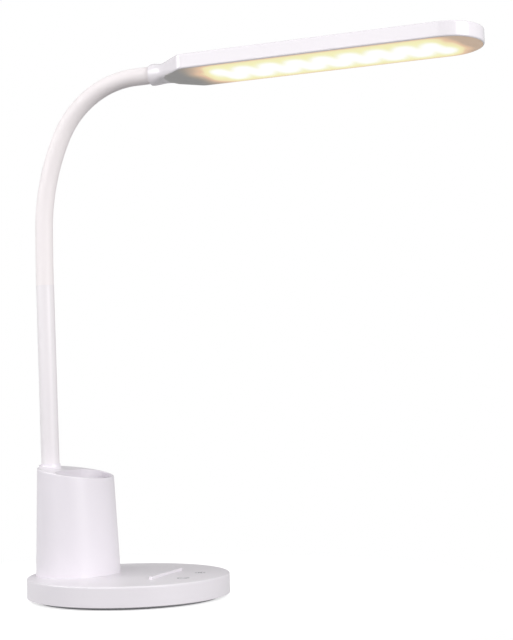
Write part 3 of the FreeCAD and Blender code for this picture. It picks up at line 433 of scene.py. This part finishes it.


# ---------------------------------------------------------------- lead in the neck
# The lamp's lead in white insulation, which runs from the control board up the stem and
# through the hose into the head. It is cut in the same lengths as the sleeve.
lead_radius, lead_in_head = 0.0008, 0.030
insulation_shade, insulation_light = (0.78, 0.78, 0.78), (0.85, 0.85, 0.84)
insulation, tree = finish("lead_insulation", IOR=1.45)
spot = place_on(tree)
cloud = speckle(tree, spot, 60)
feed(tree,
     Base_Color=cloud.ramp((0.3, insulation_shade), (0.7, insulation_light)),
     Roughness=cloud * 0.1 + 0.4,
     Normal=bump(tree, speckle(tree, spot, 1500), 0.00002, 0.4))
dress(insulation, "battery_lead", "touch_lead")
cuts = [seam_gap] + midways + [neck_long + lead_in_head]
for k in range(hinge_count):
    piece = neck_piece(f"lead_{k + 1:02d}", cuts[k], cuts[k + 1], lead_radius)
    piece.data.materials.append(insulation)
    bend_with_links(piece, k, cuts)
    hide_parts("neck_lead")


# ---------------------------------------------------------------- lead in the base and stem
# The lower end of the same lead. It is soldered to the control board, runs under the stem nut
# and goes straight up the tube to the sleeve.
route = ((-0.04135, 0.00334, 0.0093), (-0.04442, -0.00509, 0.0043), (-0.06045, 0, 0.0043),
         (-0.0607, 0, 0.0210), (-0.0614, 0, 0.0570), tuple(centreline(seam_gap)[0]))
run = bpy.data.curves.new("lead_lower", "CURVE")
run.dimensions = "3D"
run.bevel_depth = lead_radius
run.bevel_resolution = 3
run.resolution_u = 10
run.use_fill_caps = True
spline = run.splines.new("NURBS")
spline.points.add(len(route) - 1)
for bead, place in zip(spline.points, route):
    bead.co = (*place, 1)
spline.order_u = 3
spline.use_endpoint_u = True
lower = meshed("lead_lower", run)
bpy.ops.object.shade_smooth_by_angle(angle=math.radians(40))
lower.data.materials.append(insulation)
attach(lower, "base")
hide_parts("neck_lead")


# ---------------------------------------------------------------- diffuser
# Milky acrylic plate, set flush in the head's underside and lit from behind by the warm LEDs:
# every second one in each of two rows, so that the lit ones of the two rows lie staggered. Its
# lengths are in millimetres, u along the head from its collar and w across it.
head_root = 0.0236
first_led, last_led, led_cycle = 53.9, 209.1, 19.4
near_row, far_row, row_spread = -7.2, 12.0, 5.2
middle, middle_spread = 3.2, 8.1
even_glow, middle_glow, near_glow, far_glow = 0.61, 0.35, 0.36, 0.34
swell_power = 0.72
milk, tree = finish("lit_diffuser", IOR=1.49, Coat_Weight=0.1, Emission_Strength=1.0)
spot = place_on(tree)
x, y, z = spot.parts()
u = (x - head_root) * 1000
w = y * 1000


def hill(across, spread):
    """A round hill across the plate, 1 high."""
    off = (w - across) / spread
    return (off * off * -0.5).math("EXPONENT")


def lamp_row(first, across, strong):
    """The light of one row of lit LEDs: a swell at each, across the plate's width."""
    swell = ((u - first) * (2 * math.pi / led_cycle)).math("COSINE") * 0.5 + 0.5
    return swell.math("POWER", swell_power) * hill(across, row_spread) * strong


light = hill(middle, middle_spread) * middle_glow + even_glow
light = light + lamp_row(first_led, near_row, near_glow)
light = light + lamp_row(first_led + led_cycle / 2, far_row, far_glow)
stagger = w.rise(-8.0, far_row) * (led_cycle / 2)
near_root = u - stagger * 0.5
near_tip = u - stagger * 0.67
light = light * near_root.rise(first_led - 28, first_led + 4)
light = light * (1 - near_tip.rise(last_led - 2, last_led + 30))
light = light * (1 - w.math("ABSOLUTE").rise(19.0, 28.0) * 0.45)
light = light.math("MAXIMUM", u.rise(195.0, 225.0) * 0.24)
glow_colour = light.ramp(
    (0.0, (0, 0, 0)), (0.06, (0.06, 0.035, 0.01)), (0.25, (0.304, 0.178, 0.085)),
    (0.4, (0.554, 0.325, 0.154)), (0.5, (0.669, 0.563, 0.259)), (0.65, (0.70, 0.672, 0.302)),
    (0.8, (0.749, 0.749, 0.575)), (1.0, (0.86, 0.86, 0.86)))
unlit_milk, lit_milk = (0.515, 0.505, 0.49), (0.3, 0.3, 0.29)
feed(tree,
     Emission_Color=glow_colour,
     Base_Color=light.ramp((0.0, unlit_milk), (1.0, lit_milk)),
     Roughness=speckle(tree, spot, 300) * 0.1 + 0.35)
dress(milk, "diffuser")


# ---------------------------------------------------------------- touch marks
# Two small marks, pad-printed in grey ink over the touch springs: on the near one the usual
# open ring and bar for on and off, on the far one a dot and rays for brightness.
ink_shade, ink_light = (0.27, 0.27, 0.29), (0.33, 0.33, 0.35)
ink, tree = finish("mark_ink", IOR=1.45)
spot = place_on(tree)
feed(tree,
     Base_Color=speckle(tree, spot, 400).ramp((0.3, ink_shade), (0.7, ink_light)),
     Roughness=speckle(tree, spot, 300) * 0.1 + 0.3)
base_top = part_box("base_shell")[1][2]
ink_thick = 0.00006
mark_along, mark_across = 0.0485, 0.016


def start_mark(name, stroke, reach):
    """A first stroke of ink (long, wide) at its reach from the mark's middle, in edit mode."""
    bpy.ops.mesh.primitive_cube_add(size=1, location=(0, 0, 0))
    mark = bpy.context.object
    mark.name = f"touch_mark_{name}"
    bpy.ops.object.mode_set(mode="EDIT")
    bpy.ops.transform.resize(value=(*stroke, ink_thick))
    bpy.ops.transform.translate(value=(reach, 0, 0))
    return mark


def print_mark(mark, across):
    """Merges the strokes, sets the mark on the base and makes it ride there."""
    bpy.ops.mesh.select_all(action="SELECT")
    bpy.ops.mesh.remove_doubles(threshold=2e-5)
    bpy.ops.mesh.normals_make_consistent(inside=False)
    bpy.ops.transform.translate(value=(mark_along, across, base_top + ink_thick / 2))
    bpy.ops.object.mode_set(mode="OBJECT")
    mark.data.materials.append(ink)
    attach(mark, "base")


ring_radius, ring_sweep, ring_turn = 0.0039, math.radians(300), math.radians(30)
bar_long, bar_wide, bar_reach = 0.0036, 0.0009, 0.0028
mark = start_mark("near", (0.0011, 0.0005), ring_radius)
shape = bmesh.from_edit_mesh(mark.data)
for face in shape.faces:
    face.select = face.normal.y < -0.9
bmesh.update_edit_mesh(mark.data)
bpy.ops.mesh.spin(steps=20, angle=ring_sweep, center=(0, 0, 0), axis=(0, 0, 1))
bpy.ops.mesh.select_all(action="SELECT")
bpy.ops.transform.rotate(value=ring_turn, orient_axis="Z", center_override=(0, 0, 0))
bpy.ops.mesh.select_all(action="DESELECT")
bpy.ops.mesh.primitive_cube_add(size=1, location=(0, 0, 0))
bpy.ops.transform.resize(value=(bar_long, bar_wide, ink_thick))
bpy.ops.transform.translate(value=(bar_reach, 0, 0))
print_mark(mark, -mark_across)

ray_count, ray_reach, dot_radius = 8, 0.0031, 0.0015
mark = start_mark("far", (0.0017, 0.0007), ray_reach)
bpy.ops.mesh.spin(dupli=True, steps=ray_count - 1,
                  angle=math.radians(360) * (ray_count - 1) / ray_count,
                  center=(0, 0, 0), axis=(0, 0, 1))
bpy.ops.mesh.select_all(action="DESELECT")
bpy.ops.mesh.primitive_cylinder_add(vertices=24, radius=dot_radius, depth=ink_thick)
print_mark(mark, mark_across)


# ---------------------------------------------------------------- cover
# The flat ABS cover that closes the base from below, held by four screws. It comes from the
# mould with a matte grain.
cover_shade, cover_light = (0.66, 0.66, 0.69), (0.7, 0.7, 0.73)
cover, tree = finish("cover_grey", IOR=1.45)
spot = place_on(tree)
grain = speckle(tree, spot, 1100)
feed(tree,
     Base_Color=grain.ramp((0.3, cover_shade), (0.7, cover_light)),
     Roughness=grain * 0.12 + 0.45,
     Normal=bump(tree, grain, 0.00004, 0.5))
dress(cover, "bottom_plate")


# ---------------------------------------------------------------- foot pad
# A disc of foam rubber, glued under the cover so that the lamp doesn't slide. It hides the
# cover's screws, and its open cells show as a fine pattern. Its pale grey is painted light:
# lighter than the foam's own colour, so that the shaded gap under the base shows lighter.
# Painted light: the foam's grey is lighter than its own, to lift the shaded gap under the base.
foam_lightened_low, foam_lightened_high = (0.6, 0.6, 0.63), (0.67, 0.67, 0.7)
foam, tree = finish("foot_foam_painted_light", IOR=1.4)
sockets = {"Vector": place_on(tree), "Scale": 1800.0}
cells = node(tree, "ShaderNodeTexVoronoi", {}, sockets)
feed(tree,
     Base_Color=cells.ramp((0.1, foam_lightened_low), (0.7, foam_lightened_high)),
     Roughness=cells * 0.2 + 0.7,
     Normal=bump(tree, cells, 0.0001, 0.6))
dress(foam, "foot_pad")


# ---------------------------------------------------------------- steel inside
# Plain turned and punched steel, with fine lines left by the tool: the weight, the hose's
# links and ferrules, and the nuts, washer, screws, springs and the inlet's shell.
steel_shade, steel_light = (0.5, 0.5, 0.52), (0.62, 0.62, 0.63)
steel, tree = finish("plain_steel", Metallic=1.0)
sockets = {"Vector": place_on(tree), "Scale": (300.0, 300.0, 4000.0)}
lines = speckle(tree, node(tree, "ShaderNodeMapping", {}, sockets), 1.0, 3)
feed(tree,
     Base_Color=lines.ramp((0.3, steel_shade), (0.7, steel_light)),
     Roughness=lines * 0.2 + 0.25,
     Normal=bump(tree, lines, 0.00003, 0.4))
dress(steel, "counterweight", "stem_washer", "stem_nut", "base_screws", "weight_screws",
      "cup_screws", "usb_inlet", "touch_springs", "neck_root", "neck_ferrule", "neck_nut",
      *[f"conduit_link_{k:02d}" for k in range(1, hinge_count)])


# ---------------------------------------------------------------- battery
# A flat lithium cell in a pouch of creased aluminium foil. It is stuck on the weight, in the
# middle of the base.
foil_shade, foil_light = (0.62, 0.62, 0.65), (0.75, 0.75, 0.77)
foil, tree = finish("cell_foil", Metallic=0.7)
crease = speckle(tree, place_on(tree), 90, 4)
feed(tree,
     Base_Color=crease.ramp((0.3, foil_shade), (0.7, foil_light)),
     Roughness=crease * 0.2 + 0.25,
     Normal=bump(tree, crease, 0.0003, 0.5))
dress(foil, "battery")


# ---------------------------------------------------------------- control and touch boards
# Glass fibre boards under green solder mask, with their copper showing as paler lines. The
# parts on top of the control board are dark.
mask_dark, mask_light, copper_under = (0.03, 0.2, 0.09), (0.04, 0.24, 0.1), (0.1, 0.34, 0.16)
dark_part, parts_level = (0.03, 0.03, 0.035), (0.01085, 0.01095)
board, tree = finish("solder_mask", IOR=1.5)
spot = place_on(tree)
x, y, z = spot.parts()
sockets = {"Vector": spot, "Color1": mask_dark, "Color2": mask_light,
           "Mortar": copper_under, "Scale": 260.0}
tracks = node(tree, "ShaderNodeTexBrick", {}, sockets)
feed(tree,
     Base_Color=mix(tree, z.rise(*parts_level), tracks, dark_part),
     Roughness=speckle(tree, spot, 300) * 0.1 + 0.3)
dress(board, "control_board", "touch_board")


# ---------------------------------------------------------------- LED board and LEDs
# A white-coated aluminium board, stuck under the head's skin, with two rows of small LEDs. The
# warm and the cool ones take turns in each row, under phosphor of two yellows.
plate_shade, plate_light = (0.8, 0.8, 0.79), (0.86, 0.86, 0.85)
plate, tree = finish("led_plate_white", IOR=1.5)
spot = place_on(tree)
feed(tree,
     Base_Color=speckle(tree, spot, 120).ramp((0.3, plate_shade), (0.7, plate_light)),
     Roughness=speckle(tree, spot, 300) * 0.1 + 0.4)
dress(plate, "led_board")

first_chip, chip_pitch, between_rows = 0.0781, 0.0097, 0.002
warm_phosphor, cool_phosphor = (0.95, 0.7, 0.2), (0.92, 0.88, 0.5)
phosphor, tree = finish("led_phosphor", IOR=1.5)
spot = place_on(tree)
x, y, z = spot.parts()
count = (x - first_chip) / chip_pitch + (y > between_rows)
turn_about = count.math("ROUND").math("MODULO", 2.0).math("ABSOLUTE")
feed(tree,
     Base_Color=mix(tree, turn_about, warm_phosphor, cool_phosphor),
     Roughness=speckle(tree, spot, 900) * 0.1 + 0.4)
dress(phosphor, "led_chips")
